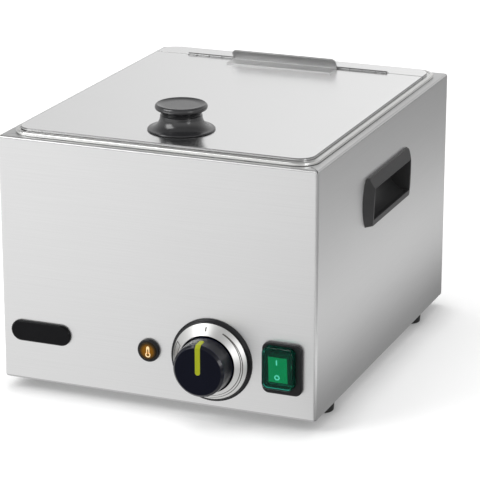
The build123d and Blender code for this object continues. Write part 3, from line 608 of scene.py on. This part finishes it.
def pick(kind, parts, wanted):
    """Selects the edges or faces that are wanted, and goes into edit mode."""
    bpy.ops.object.mode_set(mode="EDIT")
    bpy.ops.mesh.select_mode(type=kind)
    bpy.ops.mesh.select_all(action="DESELECT")
    bpy.ops.object.mode_set(mode="OBJECT")
    for part in parts:
        part.select = wanted(part)
    bpy.ops.object.mode_set(mode="EDIT")


# %% [markdown]
# ## A bar and a ring
# A bar is a thin cube whose four short edges are bevelled by just under half its width, so
# that its ends are round and no corners meet. A ring is a flat cylinder with both faces
# inset and the two insets bridged, which makes the hole.

# %% Helpers that model a mark
MARK_THICK, BEVEL_SHARE = 0.0003, 0.48
RING_RADIUS, RING_HOLE = 0.0023, 0.0013


def rounded_bar(width, length):
    """An upright bar with round ends, facing the front."""
    start_mark()
    bpy.ops.mesh.primitive_cube_add(size=1)
    bar = bpy.context.object
    bar.scale = (width, MARK_THICK, length)
    bpy.ops.object.transform_apply(location=False, rotation=False, scale=True)

    def runs_through(edge):
        """Whether an edge goes from the front face to the back one."""
        first, second = (bar.data.vertices[corner].co.y for corner in edge.vertices)
        return abs(first - second) > MARK_THICK / 2

    pick("EDGE", bar.data.edges, runs_through)
    bpy.ops.mesh.bevel(offset=width * BEVEL_SHARE, segments=5, affect="EDGES")
    bpy.ops.object.mode_set(mode="OBJECT")
    return bar


def ring():
    """A flat ring facing the front."""
    start_mark()
    bpy.ops.mesh.primitive_cylinder_add(vertices=40, radius=RING_RADIUS, depth=MARK_THICK,
                                        rotation=(math.pi / 2, 0, 0))
    piece = bpy.context.object
    bpy.ops.object.transform_apply(location=False, rotation=True, scale=False)
    pick("FACE", piece.data.polygons, lambda face: abs(face.normal.y) > 0.9)
    bpy.ops.mesh.inset(thickness=RING_RADIUS - RING_HOLE)
    bpy.ops.mesh.bridge_edge_loops()
    bpy.ops.object.mode_set(mode="OBJECT")
    return piece


# %% [markdown]
# ## Setting a mark in place
# A mark is modelled in the middle of the world and then put on its piece. Its place and
# turn are applied to the mesh, so that its object stays at the origin as the CAD nodes do,
# and then it rides on the body that carries it.

# %% Helper that settles a mark
def settle(piece, name, place, tilt, finish, body):
    """Puts a mark in its place, leaves its object at the origin and lets it ride on a body."""
    start_mark()
    piece.select_set(True)
    bpy.context.view_layer.objects.active = piece
    piece.location = place
    piece.rotation_euler = (tilt, 0, 0)
    bpy.ops.object.transform_apply(location=True, rotation=True, scale=True)
    piece.name = name
    piece.data.materials.clear()
    piece.data.materials.append(finishes[finish])
    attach(piece, body)
    print(name, [round(side * 1000, 2) for side in piece.dimensions], "mm,",
          len(piece.data.polygons), "faces")


# %% [markdown]
# ## The print
# The marks are pale, and a little light from the lamp behind them reaches the eye, so the
# print also has a glow of its own. The green cap takes most of the red out of what is seen
# through it. So the rocker's print glows reddish, to come out pale.

# %% Make the print
def lit_print(name, colour, glow, strength):
    """A pale print that is lit from behind."""
    moulded(name, colour, 0.4, gloss=0.2, uneven=0.03, edge_wear_and_highlight=1.05)
    _, shader = opened(name)
    shader.inputs["Emission Color"].default_value = (*glow, 1)
    shader.inputs["Emission Strength"].default_value = strength


lit_print("cream_print", (0.95, 0.72, 0.38), glow=(1.0, 0.75, 0.42), strength=0.3)
lit_print("mint_print", (0.8, 0.9, 0.85), glow=(1.0, 0.38, 0.42), strength=2.6)
print("two prints made")

# %% [markdown]
# ## The thermometer
# A stem over a round bulb is enough for a thermometer that is under a centimetre high. The
# bulb is a ring, and an amber core lies on the stem, so both look amber in their middle.

# %% Model the thermometer
FRONT_Y, LENS_OUT, SYMBOL_RIGHT = -0.1605, 0.0038, 0.0003
lens_face = Vector((LAMP_X + SYMBOL_RIGHT, FRONT_Y - LENS_OUT, LAMP_Z))
stem_place = lens_face + Vector((0, 0, 0.0010))
core_place = lens_face + Vector((0, -0.0001, -0.0002))
bulb_place = lens_face + Vector((0, 0, -0.0030))
settle(rounded_bar(0.0028, 0.0066), "symbol_stem", stem_place, 0, "cream_print", "housing")
settle(rounded_bar(0.0010, 0.0040), "symbol_core", core_place, 0, "amber_lens", "housing")
settle(ring(), "symbol_bulb", bulb_place, 0, "cream_print", "housing")

# %% [markdown]
# ## I and O
# The rocker stands tilted at rest, so its two marks are tilted with it: their place is
# measured from the pins that it tips on, and turned by the same angle.

# %% Model the rocker's marks
SWITCH_X, SWITCH_Z, PINS_IN = 0.1102, 0.0548, 0.001
MARK_LEFT, MARK_OUT, MARK_UP = 0.0008, 0.0092, 0.0066
rocker_pivot = Vector((SWITCH_X, FRONT_Y + PINS_IN, SWITCH_Z))
rocker_tilt = math.radians(5)


def on_rocker(up):
    """A place on the tilted face of the rocker."""
    return rocker_pivot + Matrix.Rotation(rocker_tilt, 3, "X") @ Vector((-MARK_LEFT, -MARK_OUT, up))


settle(rounded_bar(0.0011, 0.0045), "on_mark", on_rocker(MARK_UP), rocker_tilt, "mint_print", "rocker")
settle(ring(), "off_mark", on_rocker(-MARK_UP), rocker_tilt, "mint_print", "rocker")

# %% [markdown]
# ## The floor
# The object stands on one wide plane. Its material is put together by hand, because what
# the camera sees of the floor and what the steel mirrors of it are made separately.

# %% Lay the floor
bpy.ops.object.select_all(action="DESELECT")
bpy.ops.mesh.primitive_plane_add(size=30, location=(0, 0, cad_low.z))
floor = bpy.context.object
floor.name = "floor"
floor_material = bpy.data.materials.new("pale_floor")
floor_material.use_nodes = True
floor.data.materials.append(floor_material)
floor_tree = floor_material.node_tree
floor_tree.nodes.remove(floor_tree.nodes["Principled BSDF"])
floor_place = add(floor_tree, "TexCoord").outputs["Object"]
print("floor at z", round(cad_low.z, 4))

# %% [markdown]
# ## What the camera sees of the floor
# The floor is a pale sweep that runs to pure white. To the camera it adds some light of its
# own to what the lamps give it, so open floor is white and the shadow beside the object
# stays as a soft grey, a little darker where it meets the object. Far out, where the lamps
# hardly reach, the floor's own light grows, so it stays white.

# %% Make the floor for the camera
CONTACT_REACH, CONTACT_TONE = 0.03, 0.45
NEAR_GLOW, FAR_GLOW = 0.29, 0.7
FAR_FROM, FAR_TO = 0.9, 2.4
# Painted shade: ambient occlusion darkens the floor's colour and its own light where it meets the
# object.
covered = add(floor_tree, "AmbientOcclusion", samples=8, distance=CONTACT_REACH)
contact = between(floor_tree, covered.outputs["AO"], CONTACT_TONE, 1.0)
matt = add(floor_tree, "BsdfDiffuse")
feed(floor_tree, contact, matt.inputs["Color"])
distance = add(floor_tree, "VectorMath", operation="LENGTH")
feed(floor_tree, floor_place, distance.inputs[0])
horizon = between(floor_tree, distance.outputs["Value"], 0.0, FAR_GLOW, FAR_FROM, FAR_TO)
glow = add(floor_tree, "Emission")
own_light = sums(floor_tree, "ADD", sums(floor_tree, "MULTIPLY", contact, NEAR_GLOW), horizon)
feed(floor_tree, own_light, glow.inputs["Strength"])
floor_seen = add(floor_tree, "AddShader")
feed(floor_tree, matt.outputs[0], floor_seen.inputs[0])
feed(floor_tree, glow.outputs[0], floor_seen.inputs[1])
print("the floor glows", NEAR_GLOW, "near the object")

# %% [markdown]
# ## What the steel mirrors of the floor
# The walls of the housing mirror the floor, and its light isn't even: a painted pool of
# light that is brightest to the left, where the lamps are, with a painted shadow of the
# object as a grey band beside it on the right and a bright band beyond. A colour ramp over
# the floor's x gives glossy rays that, and it fades a little towards the back. The ramp
# runs from 0 to 1, and x from -1 m to 1 m.

# %% Make the floor for reflections
painted_floor_light_and_shadow = [(-1.0, 1.0), (-0.4, 0.98), (0.1, 0.74), (0.138, 0.72), (0.15, 0.20), (0.215, 0.42),
               (0.27, 1.0), (0.33, 0.95), (0.37, 0.35), (0.95, 0.30)]
BACK_FROM, BACK_TO, BACK_BRIGHT, BACK_DIM = 0.4, 0.95, 1.1, 0.86


def on_ramp(x):
    """The place of an x on the ramp."""
    return (x + 1) / 2


tones = add(floor_tree, "ValToRGB")
feed(floor_tree, between(floor_tree, split(floor_tree, floor_place)["X"], 0.0, 1.0, -1.0, 1.0),
     tones.inputs[0])
stops = tones.color_ramp.elements
for x, _ in painted_floor_light_and_shadow[2:]:
    stops.new(on_ramp(x))
for stop, (x, tone) in zip(stops, painted_floor_light_and_shadow):
    stop.position = on_ramp(x)
    stop.color = (tone, tone, tone, 1)
floor_mirrored = add(floor_tree, "Emission")
feed(floor_tree, tones.outputs[0], floor_mirrored.inputs["Color"])
feed(floor_tree, between(floor_tree, split(floor_tree, floor_place)["Y"], BACK_BRIGHT, BACK_DIM,
                         BACK_FROM, BACK_TO), floor_mirrored.inputs["Strength"])
print(len(stops), "tones across the floor")

# %% [markdown]
# ## One floor out of three
# Light Path tells which kind of ray has arrived. The camera gets the glowing floor, glossy
# rays get the tones, and all other light meets a plain pale floor.

# %% Join the floor
def mix_shaders(tree, mask, first, second):
    """A shader that goes from the first to the second as the mask goes from 0 to 1."""
    node = add(tree, "MixShader")
    for value, socket in zip((mask, first, second), node.inputs):
        feed(tree, value, socket)
    return node.outputs[0]


rays = add(floor_tree, "LightPath").outputs
pale = add(floor_tree, "BsdfDiffuse")
feed(floor_tree, (0.8, 0.8, 0.8), pale.inputs["Color"])
unseen = mix_shaders(floor_tree, rays["Is Glossy Ray"], pale.outputs[0], floor_mirrored.outputs[0])
whole_floor = mix_shaders(floor_tree, rays["Is Camera Ray"], unseen, floor_seen.outputs[0])
feed(floor_tree, whole_floor, floor_tree.nodes["Material Output"].inputs["Surface"])
print("floor material has", len(floor_tree.nodes), "nodes")

# %% [markdown]
# ## The room
# A soft studio starts with a pale room all round. It is white to the camera and through
# clear plastic, and softer as light on the object, so colours come out about as they are
# written. Reflections see a room that is bright low down and greyer overhead and to the
# left, which gives the tilted bracket its tone against the bright lid.

# %% Light the room
ROOM_LIGHT = 0.5
LEFT_TONE, LEFT_TO, LEFT_FROM = 0.76, -0.46, -0.27
OVERHEAD_TONE, OVERHEAD_FROM, OVERHEAD_TO = 0.42, 0.40, 0.72
world = bpy.data.worlds.new("studio")
bpy.context.scene.world = world
world.use_nodes = True
tree = world.node_tree
rays = add(tree, "LightPath").outputs
heading = split(tree, add(tree, "TexCoord").outputs["Generated"])
sideways = between(tree, heading["X"], LEFT_TONE, 1.0, LEFT_TO, LEFT_FROM)
upwards = between(tree, heading["Z"], 1.0, OVERHEAD_TONE, OVERHEAD_FROM, OVERHEAD_TO)
mirrored_tone = sums(tree, "MULTIPLY", sideways, upwards)
white_room = add(tree, "Background")
feed(tree, (1, 1, 1), white_room.inputs["Color"])
feed(tree, mix(tree, rays["Is Glossy Ray"], 1.0, mirrored_tone, "FLOAT"), white_room.inputs["Strength"])
soft_room = tree.nodes["Background"]
feed(tree, (1, 1, 1), soft_room.inputs["Color"])
feed(tree, ROOM_LIGHT, soft_room.inputs["Strength"])
looked_at = sums(tree, "MAXIMUM", rays["Is Camera Ray"],
                 sums(tree, "MAXIMUM", rays["Is Glossy Ray"], rays["Is Transmission Ray"]))
room = mix_shaders(tree, looked_at, soft_room.outputs[0], white_room.outputs[0])
feed(tree, room, tree.nodes["World Output"].inputs["Surface"])
print("the room lights the object at", ROOM_LIGHT)

# %% [markdown]
# ## The lamps
# A big lamp stands at the front left and above, and a weaker one hangs over the top. The
# lamp over the top gives matt light only, or the lid would mirror it as a white patch. A
# small lamp on the right is the other way round: it shows only as thin lines of light along
# the round edges.

# %% Hang the lamps
def soft_lamp(name, place, target, size, power):
    """A square studio lamp that looks at a point."""
    data = bpy.data.lights.new(name, "AREA")
    data.size = size
    data.energy = power
    lamp = bpy.data.objects.new(name, data)
    lamp.location = place
    lamp.rotation_euler = (Vector(target) - Vector(place)).to_track_quat("-Z", "Y").to_euler()
    bpy.context.scene.collection.objects.link(lamp)
    return lamp


centre = (cad_low + cad_high) / 2
soft_lamp("key_lamp", (-1.3, -1.3, 1.5), centre, size=1.2, power=22)
top_lamp = soft_lamp("top_lamp", (-0.2, 0.3, 1.7), centre, size=1.0, power=9)
top_lamp.visible_glossy = False
edge_lamp = soft_lamp("edge_lamp", (1.15, -0.72, 0.41), (0.05, -0.17, 0.05), size=0.35, power=1.6)
edge_lamp.visible_diffuse = False
edge_lamp.visible_transmission = False
print("two lamps look at", [round(v, 3) for v in centre])
